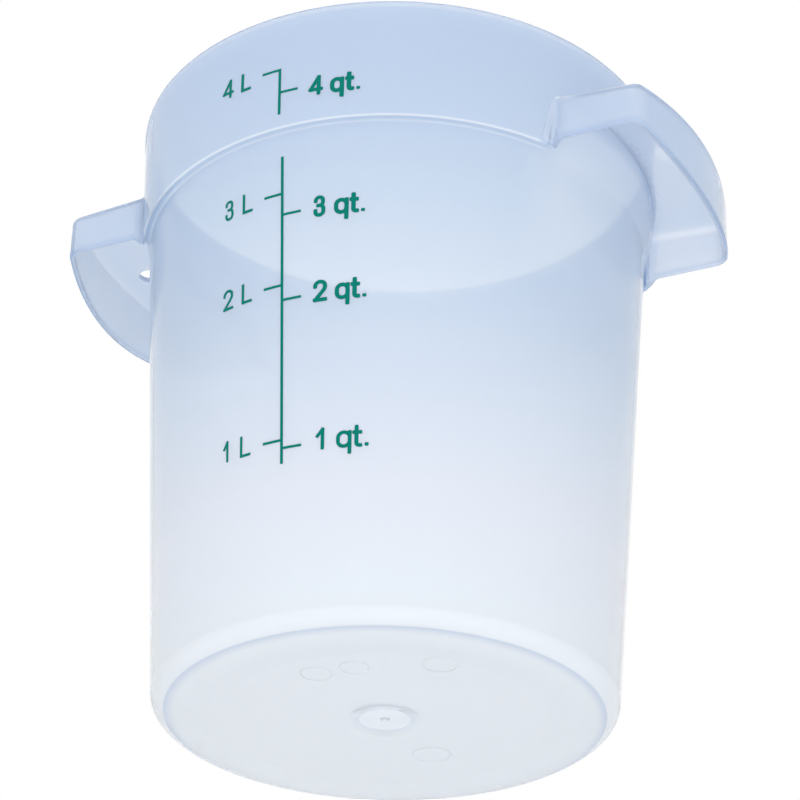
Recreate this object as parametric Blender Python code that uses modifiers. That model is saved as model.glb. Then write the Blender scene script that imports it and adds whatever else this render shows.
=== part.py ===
"""Round food storage container, four litre size, with two hooded side handles.

Lengths are in metres and +Z is up. The origin is under the middle of the foot. The handles lie along X
and the printed volume scale faces -Y.

The real container is one moulding of clear polypropylene with a scale printed on it. It is built here
as the pieces that the moulding is drawn in: floor, foot corner, tapered wall, ledge, collar, rim bead
and two handles. Each ruled line and each character of the print is a thin piece of its own.
"""

import math

import bmesh
import bpy
from mathutils import Matrix, Vector

# Tub: one turned wall that widens from the foot to a stepped collar
foot_radius = 0.0750
wall_flare = 0.0121
ledge_height = 0.1751
wall_thickness = 0.0020
floor_thickness = 0.0030
outer_corner_radius = 0.0070
inner_corner_radius = 0.0050
foot_ring_width = 0.0040
foot_ring_depth = 0.0004
gate_well_radius = 0.0080
gate_well_depth = 0.0012
gate_well_slope = 0.0038

# Collar and rim: the step that carries a stacked container and the bead that a lid snaps over
ledge_width = 0.0027
ledge_thickness = 0.0022
ledge_edge_round = 0.0008
collar_height = 0.0452
collar_flare = 0.0016
bead_height = 0.0025
bead_projection = 0.0006
bead_round = 0.0006

# Handles: a plate that springs from the collar, with a skirt turned down round three of its sides
handle_reach = 0.0252
handle_half_width = 0.0475
handle_front_radius = 0.1300
handle_corner_radius = 0.0056
handle_bend_radius = 0.0048
handle_thickness = 0.0020
plate_rise = 0.0217
plate_fall = 0.0022
skirt_end_rise = 0.0024
skirt_dip = 0.0065
skirt_root_run = 0.0042
hanging_hole_radius = 0.0039
hanging_hole_setback = 0.0146

# Print: ink lines, ticks and labels on the side that faces -Y
ink_thickness = 0.0002
ink_line_width = 0.0009
ink_tick_width = 0.0008
tick_length = 0.0066
print_lean = 0.0027
litre_capital = 0.0073
litre_weight = 0.0
litre_number_place = -0.0211
litre_letter_place = -0.0134
litre_letter_width = 0.0044
quart_capital = 0.0076
quart_weight = 0.0003
quart_number_place = 0.0127
quart_q_place = 0.0200
quart_q_width = 0.0048
quart_t_place = 0.0244
quart_t_width = 0.0031
quart_stop_place = 0.0272
quart_stop_width = 0.0014
label_slice = 0.0040
# Heights of the marks on the wall as shares of the ledge's height, and on the collar as shares of its own
wall_litre_shares = (0.361, 0.673, 0.866)
wall_quart_shares = (0.345, 0.642, 0.821)
wall_line_shares = (0.315, 0.946)
collar_litre_share = 0.509
collar_quart_share = 0.308
collar_line_end_share = 0.117
# How far each label's middle stands above its tick, from one to four, as shares of the capital's height
label_rise_shares = (0.19, 0.15, 0.10, 0.0)
# Height of a capital letter as a share of the type's size
capital_share = 0.678
# The figure 4 as shares of the capital's height: its width, the stem's right side, the bar's underside and
# the width of a stroke. The flat top of the stem is a share of the stroke.
four_width_share = 0.70
four_stem_share = 0.59
four_bar_share = 0.22
four_stroke_share = 0.135
four_tip_share = 0.85

# Clearances: the moulding is continuous, so its pieces are parted by the least gap that keeps them apart
gap = 0.0003
cut_overrun = 0.0100
weld_distance = 0.00001

# Fineness of the round shapes
turn_steps = 72
corner_steps = 5
bead_steps = 3
bend_steps = 4
front_steps = 12
dip_steps = 12
hole_steps = 24
glyph_steps = 3
empty_face_passes = 4

# Angles in degrees: what counts as flat, as an edge to round and as an edge to shade sharp
flat_angle = 0.1
round_angle = 50
sharp_angle = 35

# Worked out from the sizes above
rim_height = ledge_height + collar_height
bead_bottom = rim_height - bead_height
wall_top_radius = foot_radius + wall_flare
collar_bottom_radius = wall_top_radius + ledge_width
collar_top_radius = collar_bottom_radius + collar_flare
reach_x = collar_bottom_radius + collar_flare * plate_rise / collar_height + handle_reach
plate_under = ledge_height + plate_rise - handle_thickness
skirt_end_height = ledge_height + skirt_end_rise
foot_ring_inner = foot_radius - outer_corner_radius - foot_ring_width
floor_top = foot_ring_depth + floor_thickness
corner_top = max(outer_corner_radius, floor_top + inner_corner_radius) + 2 * gap

CLEAR = (0.74, 0.84, 0.94, 1.0)
INK = (0.0, 0.20, 0.17, 1.0)


def wall_radius(height):
    """Outer radius of the tapered wall at a height."""
    return foot_radius + wall_flare * height / ledge_height


def collar_radius(height):
    """Outer radius of the collar at a height above the foot."""
    return collar_bottom_radius + collar_flare * (height - ledge_height) / collar_height


def clear_scene():
    for thing in list(bpy.data.objects):
        bpy.data.objects.remove(thing, do_unlink=True)
    for group in list(bpy.data.collections):
        bpy.data.collections.remove(group)


def new_collection(name):
    group = bpy.data.collections.new(name)
    bpy.context.scene.collection.children.link(group)
    return group


def plastic(name, colour, roughness):
    material = bpy.data.materials.new(name)
    material.use_nodes = True
    shader = material.node_tree.nodes["Principled BSDF"]
    shader.inputs["Base Color"].default_value = colour
    shader.inputs["Roughness"].default_value = roughness
    shader.inputs["Metallic"].default_value = 0.0
    material.diffuse_color = colour
    return material


def add_object(name, mesh, group, material=None):
    thing = bpy.data.objects.new(name, mesh)
    group.objects.link(thing)
    if material:
        mesh.materials.append(material)
    return thing


def as_cutter(thing):
    thing.hide_render = True
    thing.display_type = "WIRE"
    return thing


def arc(centre, radius, start, end, steps):
    """Points on an arc in a plane, from one angle in degrees to another."""
    angles = [math.radians(start + (end - start) * k / steps) for k in range(steps + 1)]
    return [(centre[0] + radius * math.cos(a), centre[1] + radius * math.sin(a)) for a in angles]


def turned(name, profile, group, material=None, closed=True):
    """A profile of (radius, height) points turned about Z. A closed profile makes a ring."""
    mesh = bpy.data.meshes.new(name)
    points = [(radius, 0.0, height) for radius, height in profile]
    edges = [(k, k + 1) for k in range(len(points) - 1)]
    if closed:
        edges.append((len(points) - 1, 0))
    mesh.from_pydata(points, edges, [])
    thing = add_object(name, mesh, group, material)
    screw = thing.modifiers.new("Turn", "SCREW")
    screw.axis = "Z"
    screw.angle = math.tau
    screw.steps = turn_steps
    screw.render_steps = turn_steps
    screw.use_merge_vertices = True
    screw.merge_threshold = weld_distance
    screw.use_smooth_shade = True
    return thing


def prism(name, outlines, low, high, group):
    """Flat outlines of (x, y) points given a thickness from one height to another, as a mesh.

    The first outline is the shape and any others are holes in it.
    """
    curve = bpy.data.curves.new(name, "CURVE")
    curve.dimensions = "2D"
    curve.fill_mode = "BOTH"
    curve.extrude = (high - low) / 2
    for outline in outlines:
        spline = curve.splines.new("POLY")
        spline.points.add(len(outline) - 1)
        for point, (x, y) in zip(spline.points, outline):
            point.co = (x, y, 0.0, 1.0)
        spline.use_cyclic_u = True
    guide = bpy.data.objects.new(name + "_guide", curve)
    guide.location.z = (low + high) / 2
    group.objects.link(guide)
    thing = curve_to_mesh(guide, name, group)
    join_flat_faces(thing.data)
    return thing


def curve_to_mesh(guide, name, group):
    """The closed mesh of a curve or text object, in the object's own place."""
    bpy.context.view_layer.update()
    graph = bpy.context.evaluated_depsgraph_get()
    mesh = bpy.data.meshes.new_from_object(guide.evaluated_get(graph))
    mesh.transform(guide.matrix_world)
    weld(mesh)
    bpy.data.objects.remove(guide, do_unlink=True)
    mesh.name = name
    return add_object(name, mesh, group)


def weld(mesh):
    """Joins points that coincide and takes out the faces with no area that the filling of a curve leaves.

    Where such faces lie in a row along one line, each pass takes out only some of them.
    """
    work = bmesh.new()
    work.from_mesh(mesh)
    bmesh.ops.remove_doubles(work, verts=work.verts, dist=weld_distance)
    for _ in range(empty_face_passes):
        bmesh.ops.dissolve_degenerate(work, dist=weld_distance, edges=work.edges)
    bmesh.ops.recalc_face_normals(work, faces=work.faces)
    work.to_mesh(mesh)
    work.free()


def join_flat_faces(mesh):
    """Makes each flat end of a prism one face, so that its edges can be rounded."""
    work = bmesh.new()
    work.from_mesh(mesh)
    bmesh.ops.dissolve_limit(
        work, angle_limit=math.radians(flat_angle), verts=work.verts, edges=work.edges
    )
    work.to_mesh(mesh)
    work.free()


def cut(thing, cutter, name):
    boolean = thing.modifiers.new(name, "BOOLEAN")
    boolean.operation = "DIFFERENCE"
    boolean.solver = "EXACT"
    boolean.object = cutter


def smooth(thing):
    thing.data.shade_smooth()
    thing.data.set_sharp_from_angle(angle=math.radians(sharp_angle))


# Tub


def make_floor(group, material):
    """The flat floor, a little above the foot ring, with a dished gate well under its middle."""
    edge = foot_ring_inner - gap
    well_edge = gate_well_radius + gate_well_slope
    profile = [
        (0.0, floor_top + gate_well_depth),
        (gate_well_radius, floor_top + gate_well_depth),
        (well_edge, floor_top),
        (edge, floor_top),
        (edge, foot_ring_depth),
        (well_edge, foot_ring_depth),
        (gate_well_radius, foot_ring_depth + gate_well_depth),
        (0.0, foot_ring_depth + gate_well_depth),
    ]
    return turned("tub_floor", profile, group, material, closed=False)


def make_foot_corner(group, material):
    """The flat ring that the container stands on and the rounded corner that joins floor and wall."""
    top = corner_top - gap
    outer = outer_corner_radius
    inner = inner_corner_radius
    inside_foot = wall_radius(floor_top + inner) - wall_thickness
    profile = [(wall_radius(top), top)]
    profile += arc((wall_radius(outer) - outer, outer), outer, 0, -90, corner_steps)
    profile += [(foot_ring_inner, 0.0), (foot_ring_inner, floor_top)]
    profile += arc((inside_foot - inner, floor_top + inner), inner, -90, 0, corner_steps)
    profile += [(wall_radius(top) - wall_thickness, top)]
    return turned("foot_corner", profile, group, material)


def make_wall(group, material):
    """The tapered wall between the foot corner and the ledge."""
    top = ledge_height - gap
    profile = [
        (wall_radius(top), top),
        (wall_radius(corner_top), corner_top),
        (wall_radius(corner_top) - wall_thickness, corner_top),
        (wall_radius(top) - wall_thickness, top),
    ]
    return turned("tub_wall", profile, group, material)


def make_ledge(group, material):
    """The ledge that steps the wall outwards, rounded at its outer edge."""
    edge = ledge_edge_round
    top = ledge_height + ledge_thickness
    profile = [(collar_radius(top), top)]
    profile += arc((collar_radius(ledge_height) - edge, ledge_height + edge), edge, 0, -90, bead_steps)
    profile += [(wall_top_radius - wall_thickness, ledge_height), (wall_top_radius - wall_thickness, top)]
    return turned("ledge", profile, group, material)


def make_collar(group, material):
    """The upright collar between the ledge and the rim bead."""
    top = bead_bottom - gap
    low = ledge_height + ledge_thickness + gap
    profile = [
        (collar_radius(top), top),
        (collar_radius(low), low),
        (collar_radius(low) - wall_thickness, low),
        (collar_radius(top) - wall_thickness, top),
    ]
    return turned("collar", profile, group, material)


def make_bead(group, material):
    """The bead round the rim, a little proud of the collar and rounded at its outer edges."""
    outer = collar_top_radius + bead_projection
    inner = collar_top_radius - wall_thickness
    edge = bead_round
    profile = arc((outer - edge, rim_height - edge), edge, 90, 0, bead_steps)
    profile += arc((outer - edge, bead_bottom + edge), edge, 0, -90, bead_steps)
    profile += [(inner, bead_bottom), (inner, rim_height)]
    return turned("rim_bead", profile, group, material)


# Handles


def handle_outline(inset):
    """Half-round plan of a handle: two parallel sides, rounded corners and a gently curved front."""
    half = handle_half_width - inset
    radius = handle_corner_radius - inset
    front = handle_front_radius - inset
    centre = reach_x - handle_front_radius
    corner_y = half - radius
    corner_x = centre + math.sqrt((front - radius) ** 2 - corner_y**2)
    turn = math.degrees(math.atan2(corner_y, corner_x - centre))
    root_x = math.sqrt(collar_bottom_radius**2 - handle_half_width**2) - wall_thickness - inset
    points = [(root_x, -half)]
    points += arc((corner_x, -corner_y), radius, -90, -turn, corner_steps)
    points += arc((centre, 0.0), front, -turn, turn, front_steps)[1:-1]
    points += arc((corner_x, corner_y), radius, turn, 90, corner_steps)
    points += [(root_x, half)]
    return points


def handle_block(name, inset, top, bend, low, group):
    """A solid block in the plan of a handle. Its top falls towards the front and has rounded edges."""
    block = prism(name, [handle_outline(inset)], low, top, group)
    middle = (low + top) / 2
    for vertex in block.data.vertices:
        if vertex.co.z > middle:
            vertex.co.z -= plate_fall * (vertex.co.x - collar_bottom_radius) / handle_reach
    bevel = block.modifiers.new("Bend", "BEVEL")
    bevel.width = bend
    bevel.segments = bend_steps
    bevel.limit_method = "ANGLE"
    bevel.angle_limit = math.radians(round_angle)
    return block


def skirt_cutter(name, group):
    """Everything below the skirt's lower edge, as a grid of heights with a flat floor.

    Along X the edge lies at the ledge's height where it meets the collar, then slopes up to the height of
    the skirt's ends. Along Y it is level past the sides and dips in an arc between them.
    """
    root_x = math.sqrt(collar_bottom_radius**2 - handle_half_width**2)
    half = handle_half_width - handle_thickness
    radius = (half**2 + skirt_dip**2) / (2 * skirt_dip)
    wide = handle_half_width + cut_overrun
    across = [half * (2 * k / dip_steps - 1) for k in range(dip_steps + 1)]
    rows = [(-wide, 0.0)]
    rows += [(y, math.sqrt(radius**2 - y**2) - (radius - skirt_dip)) for y in across]
    rows += [(wide, 0.0)]
    columns = [
        (root_x - wall_thickness - cut_overrun, ledge_height),
        (root_x + skirt_root_run - skirt_end_rise, ledge_height),
        (root_x + skirt_root_run, skirt_end_height),
        (reach_x + cut_overrun, skirt_end_height),
    ]
    floor = ledge_height - skirt_dip - 2 * cut_overrun
    work = bmesh.new()
    bmesh.ops.create_grid(work, x_segments=len(columns) - 1, y_segments=len(rows) - 1, size=1.0)
    for vertex in work.verts:
        x, height = columns[round((vertex.co.x + 1) / 2 * (len(columns) - 1))]
        y, dip = rows[round((vertex.co.y + 1) / 2 * (len(rows) - 1))]
        vertex.co = Vector((x, y, height - dip))
    below = bmesh.ops.extrude_face_region(work, geom=work.faces[:])["geom"]
    for vertex in below:
        if isinstance(vertex, bmesh.types.BMVert):
            vertex.co.z = floor
    bmesh.ops.recalc_face_normals(work, faces=work.faces)
    mesh = bpy.data.meshes.new(name)
    work.to_mesh(mesh)
    work.free()
    return as_cutter(add_object(name, mesh, group))


def collar_cutter(name, group):
    """The collar's own outside, with the gap that keeps a handle clear of it."""
    low = ledge_height - skirt_dip - 2 * cut_overrun
    high = rim_height + cut_overrun
    profile = [
        (0.0, high),
        (collar_radius(high) + gap, high),
        (collar_radius(low) + gap, low),
        (0.0, low),
    ]
    return as_cutter(turned(name, profile, group, closed=False))


def hole_cutter(name, group):
    bpy.ops.mesh.primitive_cylinder_add(
        vertices=hole_steps,
        radius=hanging_hole_radius,
        depth=2 * cut_overrun,
        location=(reach_x - hanging_hole_setback, 0.0, plate_under),
    )
    cutter = bpy.context.active_object
    cutter.name = name
    for group_now in list(cutter.users_collection):
        group_now.objects.unlink(cutter)
    group.objects.link(cutter)
    return as_cutter(cutter)


def make_handle(name, turn, with_hole, group, cutters, material):
    """One handle: a hollow hood, open below, cut to its skirt edge and fitted round the collar."""
    top = plate_under + handle_thickness
    low = ledge_height - skirt_dip - cut_overrun
    handle = handle_block(name, 0.0, top, handle_bend_radius, low, group)
    handle.data.materials.append(material)
    inside_bend = handle_bend_radius - handle_thickness
    hollow = handle_block(
        name + "_hollow", handle_thickness, plate_under, inside_bend, low - cut_overrun, cutters
    )
    cut(handle, as_cutter(hollow), "Hollow")
    cut(handle, skirt_cutter(name + "_skirt", cutters), "Skirt edge")
    cut(handle, collar_cutter(name + "_collar", cutters), "Collar")
    if with_hole:
        cut(handle, hole_cutter(name + "_hole", cutters), "Hanging hole")
    smooth(handle)
    handle.rotation_euler.z = turn
    for modifier in handle.modifiers:
        if modifier.type == "BOOLEAN":
            modifier.object.rotation_euler.z = turn
            if modifier.name == "Hanging hole":
                modifier.object.location = Matrix.Rotation(turn, 3, "Z") @ modifier.object.location
    return handle


# Print


def print_middle(height):
    """How far round the wall from -Y the printed line runs at a height. The line leans a little."""
    return -print_lean * height / rim_height


def wrap(mesh, radius_at):
    """Bends a flat mesh, x along the wall, y up and z outwards, round the wall or the collar."""
    for vertex in mesh.vertices:
        along, height, out = vertex.co
        surface = radius_at(height)
        angle = -math.pi / 2 + (along + print_middle(height)) / surface
        radius = surface + gap + ink_thickness / 2 + out
        vertex.co = Vector((radius * math.cos(angle), radius * math.sin(angle), height))


def slice_upright(mesh):
    """Cuts a flat mesh into upright strips of triangles, so that it can bend round the wall."""
    work = bmesh.new()
    work.from_mesh(mesh)
    low = min(vertex.co.x for vertex in work.verts)
    high = max(vertex.co.x for vertex in work.verts)
    strips = max(1, round((high - low) / label_slice))
    for k in range(1, strips):
        everything = work.verts[:] + work.edges[:] + work.faces[:]
        place = Vector((low + (high - low) * k / strips, 0.0, 0.0))
        bmesh.ops.bisect_plane(work, geom=everything, plane_co=place, plane_no=Vector((1.0, 0.0, 0.0)))
    bmesh.ops.triangulate(work, faces=work.faces, quad_method="BEAUTY", ngon_method="BEAUTY")
    work.to_mesh(mesh)
    work.free()


def ruler_outline(low, high, left_marks, right_marks):
    """Outline of an upright line from low to high, with ticks that stand out at marks on either side."""
    half = ink_line_width / 2
    tick = ink_tick_width / 2
    points = [(half, high)]
    for mark in sorted(right_marks, reverse=True):
        points += [(half, mark + tick), (tick_length, mark + tick)]
        points += [(tick_length, mark - tick), (half, mark - tick)]
    points += [(half, low), (-half, low)]
    for mark in sorted(left_marks):
        points += [(-half, mark - tick), (-tick_length, mark - tick), (-tick_length, mark + tick)]
        points += [(-half, min(mark + tick, high))]
    if points[-1][1] < high:
        points.append((-half, high))
    return points


def make_ruler(name, low, high, litre_marks, quart_marks, radius_at, group, material):
    """A printed line with its ticks: to the left for litres and to the right for quarts."""
    outline = ruler_outline(low, high, litre_marks, quart_marks)
    ruler = prism(name, [outline], -ink_thickness / 2, ink_thickness / 2, group)
    set_on_wall(ruler, 0.0, 0.0, radius_at, material)


def four_outlines(capital, stroke):
    """Outlines of a figure 4 and of the hole in it, with the middle of its height at the origin.

    The type's own 4 has a hole whose outline would cross itself when its strokes are thickened. Here the
    hole's slanting side lies parallel to the slanting stroke's outside, a stroke's width further in.
    """
    wide = four_width_share * capital
    stem = four_stem_share * capital
    low = four_bar_share * capital
    high = low + stroke
    inner = stem - stroke
    tip = stem - four_tip_share * stroke
    slope = (capital - high) / tip
    start = stroke * math.sqrt(1 + slope**2) / slope
    shape = [(inner, 0.0), (stem, 0.0), (stem, low), (wide, low), (wide, high), (stem, high)]
    shape += [(stem, capital), (tip, capital), (0.0, high), (0.0, low), (inner, low)]
    hole = [(start, high), (inner, high), (inner, high + slope * (inner - start))]
    return [[(x - wide / 2, y - capital / 2) for x, y in outline] for outline in (shape, hole)]


def flat_glyph(name, letter, capital, weight, width, group):
    """One letter or number, flat, with the middle of its capital height at the origin.

    Its weight thickens the strokes all round. Where a width is given, it is stretched to that width.
    """
    if letter == "4":
        outlines = four_outlines(capital, four_stroke_share * capital + 2 * weight)
        return prism(name, outlines, -ink_thickness / 2, ink_thickness / 2, group)
    curve = bpy.data.curves.new(name, "FONT")
    curve.body = letter
    curve.resolution_u = glyph_steps
    curve.extrude = ink_thickness / 2
    curve.size = (capital - 2 * weight) / capital_share
    curve.offset = weight
    guide = bpy.data.objects.new(name + "_guide", curve)
    guide.location.y = weight - capital / 2
    group.objects.link(guide)
    glyph = curve_to_mesh(guide, name, group)
    low = min(vertex.co.x for vertex in glyph.data.vertices)
    high = max(vertex.co.x for vertex in glyph.data.vertices)
    stretch = width / (high - low) if width else 1
    for vertex in glyph.data.vertices:
        vertex.co.x = (vertex.co.x - (low + high) / 2) * stretch
    return glyph


def set_on_wall(thing, place, middle, radius_at, material):
    """Moves flat print to its place along the wall and its height, and bends it round the wall."""
    slice_upright(thing.data)
    thing.data.transform(Matrix.Translation((place, middle, 0.0)))
    wrap(thing.data, radius_at)
    thing.data.materials.append(material)


def make_labels(number, litre, quart, radius_at, group, material):
    """The litre label to the left of its tick and the quart label to the right of its own."""
    rise_share = label_rise_shares[number - 1]
    middle = litre + rise_share * litre_capital
    for name, letter, place, width in (
        (f"numeral_{number}_litre", str(number), litre_number_place, None),
        (f"unit_litre_{number}", "L", litre_letter_place, litre_letter_width),
    ):
        glyph = flat_glyph(name, letter, litre_capital, litre_weight, width, group)
        set_on_wall(glyph, place, middle, radius_at, material)
    middle = quart + rise_share * quart_capital
    for name, letter, place, width in (
        (f"numeral_{number}_quart", str(number), quart_number_place, None),
        (f"unit_quart_q_{number}", "q", quart_q_place, quart_q_width),
        (f"unit_quart_t_{number}", "t", quart_t_place, quart_t_width),
        (f"unit_quart_stop_{number}", ".", quart_stop_place, quart_stop_width),
    ):
        glyph = flat_glyph(name, letter, quart_capital, quart_weight, width, group)
        set_on_wall(glyph, place, middle, radius_at, material)


def make_print(group, material):
    """The scale: three marks of each kind on the wall and the fourth on the collar."""
    litres = [share * ledge_height for share in wall_litre_shares]
    quarts = [share * ledge_height for share in wall_quart_shares]
    low, high = (share * ledge_height for share in wall_line_shares)
    make_ruler("scale_lower", low, high, litres, quarts, wall_radius, group, material)
    top_litre = ledge_height + collar_litre_share * collar_height
    top_quart = ledge_height + collar_quart_share * collar_height
    low = ledge_height + collar_line_end_share * collar_height
    high = top_litre + ink_tick_width / 2
    make_ruler("scale_upper", low, high, [top_litre], [top_quart], collar_radius, group, material)
    for number, (litre, quart) in enumerate(zip(litres, quarts), start=1):
        make_labels(number, litre, quart, wall_radius, group, material)
    make_labels(len(litres) + 1, top_litre, top_quart, collar_radius, group, material)


def main():
    clear_scene()
    container = new_collection("food_storage_container")
    cutters = new_collection("cutters")
    make_floor(container, plastic("floor_plastic", CLEAR, 0.18))
    make_foot_corner(container, plastic("foot_plastic", CLEAR, 0.15))
    make_wall(container, plastic("wall_plastic", CLEAR, 0.15))
    make_ledge(container, plastic("ledge_plastic", CLEAR, 0.15))
    make_collar(container, plastic("collar_plastic", CLEAR, 0.15))
    make_bead(container, plastic("rim_plastic", CLEAR, 0.15))
    for name, turn, with_hole in (("handle_right", 0.0, False), ("handle_left", math.pi, True)):
        make_handle(name, turn, with_hole, container, cutters, plastic(name + "_plastic", CLEAR, 0.18))
    make_print(container, plastic("green_ink", INK, 0.45))


main()
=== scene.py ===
"""The looks of a round clear food storage container with hooded handles and a printed volume scale.

Lengths are in metres, +Z is up and the origin is under the middle of the foot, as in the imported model.
"""

import logging
import math
from dataclasses import dataclass
from enum import Enum

import bmesh
import bpy
import numpy as np
from mathutils import Matrix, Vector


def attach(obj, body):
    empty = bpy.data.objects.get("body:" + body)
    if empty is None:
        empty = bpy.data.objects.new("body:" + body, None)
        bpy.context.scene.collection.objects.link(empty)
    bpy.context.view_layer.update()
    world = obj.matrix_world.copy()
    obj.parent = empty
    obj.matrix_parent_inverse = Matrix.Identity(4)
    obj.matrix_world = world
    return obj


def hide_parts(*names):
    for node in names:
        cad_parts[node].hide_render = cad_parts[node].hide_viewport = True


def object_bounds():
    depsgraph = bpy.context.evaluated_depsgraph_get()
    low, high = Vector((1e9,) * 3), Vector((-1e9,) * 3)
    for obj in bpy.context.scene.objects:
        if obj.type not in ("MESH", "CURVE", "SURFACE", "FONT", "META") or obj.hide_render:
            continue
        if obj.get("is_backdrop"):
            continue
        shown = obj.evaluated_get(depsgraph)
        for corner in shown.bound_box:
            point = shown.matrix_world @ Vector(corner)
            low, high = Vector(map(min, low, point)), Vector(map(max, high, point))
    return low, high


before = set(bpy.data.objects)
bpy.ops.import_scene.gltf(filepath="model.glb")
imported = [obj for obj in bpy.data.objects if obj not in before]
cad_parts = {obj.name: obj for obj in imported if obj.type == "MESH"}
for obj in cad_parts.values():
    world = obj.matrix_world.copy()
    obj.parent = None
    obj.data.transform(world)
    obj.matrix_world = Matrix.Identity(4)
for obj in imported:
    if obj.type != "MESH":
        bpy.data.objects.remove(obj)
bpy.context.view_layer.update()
MERGE_REACH = 1e-7
LOG = logging.getLogger("container")
Array = np.ndarray
Number = float | np.ndarray
Pair = tuple[float, float]
Triple = tuple[float, float, float]
Values = tuple[float, ...]
Tones = tuple[np.ndarray, np.ndarray]
Socket = bpy.types.NodeSocket


class Side(Enum):
    """Which way a handle points along X."""

    RIGHT = 1
    LEFT = -1


class Loop(Enum):
    """Whether a direction of a surface grid closes on itself."""

    OPEN = False
    CLOSED = True


class Unit(Enum):
    """Which side of the scale a label belongs to."""

    LITRE = "litre"
    QUART = "quart"


class Layer(Enum):
    """The names of the painted light and painted shade values that the moulding's mesh carries."""

    # Painted light: pale faces and pale lines that are painted highlights.
    PALE = "pale"
    # Painted shade: deep lines of shade.
    DEEP = "deep"


# Meshes


def beside(*values: Number) -> Array:
    """Values side by side along a last axis, with a number or a row repeated to the size of the rest."""
    return np.stack(np.broadcast_arrays(*values), axis=-1)


def direction(vector: Array) -> Array:
    """A vector at length one."""
    return vector / np.linalg.norm(vector)


def full_turn(steps: int) -> Array:
    """The angles of a full turn in even steps, without the last."""
    return np.linspace(0.0, math.tau, steps, endpoint=False)


def grid_faces(grid: Array, down: Loop, across: Loop) -> Array:
    """Corner numbers of every quad of a grid: each point, the next across, and the two below them.

    Args:
        grid: The grid, an array of rows, columns and coordinates.
        down: Whether the last row joins the first.
        across: Whether the last point of a row joins its first.

    Returns:
        An array of four corner numbers per quad.
    """
    rows, columns, _ = grid.shape
    number = np.arange(rows * columns).reshape(rows, columns)
    below = np.roll(number, -1, axis=0)
    quads = beside(number, np.roll(number, -1, axis=1), np.roll(below, -1, axis=1), below)
    return quads[: rows - 1 + down.value, : columns - 1 + across.value].reshape(-1, 4)


def mesh_points(mesh: bpy.types.Mesh) -> Array:
    """The coordinates of a mesh's points, one row each."""
    points = np.empty(len(mesh.vertices) * 3)
    mesh.vertices.foreach_get("co", points)
    return points.reshape(-1, 3)


def new_object(name: str, mesh: bpy.types.Mesh) -> bpy.types.Object:
    """Puts a mesh into the scene as an object at the origin."""
    thing = bpy.data.objects.new(name, mesh)
    bpy.context.scene.collection.objects.link(thing)
    return thing


def closed_solid(
    name: str, grids: list[Array], down: Loop = Loop.OPEN, ends: bool = False
) -> bpy.types.Object:
    """An object over grids of points that close across, merged where points coincide, faces outwards.

    Args:
        name: The name of the object and its mesh.
        grids: The grids, each an array of rows, columns and coordinates.
        down: Whether each grid's last row joins its first.
        ends: Whether the first and last rows of an only grid are filled as flat ends.

    Returns:
        The new object.
    """
    starts = np.cumsum([0] + [grid[..., 0].size for grid in grids])
    quads = [grid_faces(grid, down, Loop.CLOSED) + start for grid, start in zip(grids, starts)]
    faces = np.concatenate(quads).tolist()
    if ends:
        number = np.arange(starts[-1]).reshape(grids[0].shape[:2])
        faces += [number[0].tolist(), number[-1].tolist()]
    mesh = bpy.data.meshes.new(name)
    mesh.from_pydata(np.concatenate([grid.reshape(-1, 3) for grid in grids]).tolist(), [], faces)
    work = bmesh.new()
    work.from_mesh(mesh)
    bmesh.ops.remove_doubles(work, verts=work.verts, dist=MERGE_REACH)
    bmesh.ops.recalc_face_normals(work, faces=work.faces)
    work.to_mesh(mesh)
    work.free()
    return new_object(name, mesh)


def rounded_line(corners: list[Values], step: float, stretch: float, guard: float) -> Array:
    """A line through corners, each rounded by its own radius, with no stretch of it too long.

    At a corner with half angle a between its sides, the arc touches both sides at radius / tan(a) from
    the corner, and its centre lies at radius / sin(a) along the line that halves the corner.

    Args:
        corners: Each corner's two coordinates and its radius. The ends need none.
        step: The longest step round an arc, which has four or more.
        stretch: The longest straight step.
        guard: How far from its ends a straight line over three times as long has extra points.

    Returns:
        The points as an array of two columns.
    """
    found = [[corners[0][:2]]]
    for before, here, after in zip(corners, corners[1:], corners[2:]):
        place, radius = np.array(here[:2]), here[2]
        back, on = (direction(np.array(other[:2]) - place) for other in (before, after))
        half = math.acos(float(np.clip(back @ on, -1.0, 1.0))) / 2
        centre = place + direction(back + on) * radius / math.sin(half)
        start, end = (place + way * radius / math.tan(half) - centre for way in (back, on))
        turn = math.pi - 2 * half
        share = np.linspace(0.0, 1.0, max(4, math.ceil(turn * radius / step)) + 1)[:, None]
        spread = np.sin((1 - share) * turn) * start + np.sin(share * turn) * end
        found.append(centre + spread / math.sin(turn))
    line = np.concatenate([*found, [corners[-1][:2]]])
    pieces = []
    for a, b in zip(line, line[1:]):
        length = float(np.linalg.norm(b - a))
        share = np.linspace(0.0, 1.0, max(1, math.ceil(length / stretch)), endpoint=False)
        if length >= 3 * guard:
            share = np.unique(np.concatenate([share, [guard / length, 1 - guard / length]]))
        pieces.append(a + share[:, None] * (b - a))
    return np.concatenate([*pieces, line[-1:]])


def turned_grid(profile: Array, turns: int) -> Array:
    """A profile turned about Z: each point is (radius cos t, radius sin t, height) for turn angle t.

    Args:
        profile: Radius and height in two columns.
        turns: How many steps a full turn has.

    Returns:
        The grid, one row per profile point.
    """
    angle, radius = full_turn(turns), profile[:, :1]
    return beside(radius * np.cos(angle), radius * np.sin(angle), profile[:, 1:])


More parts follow.
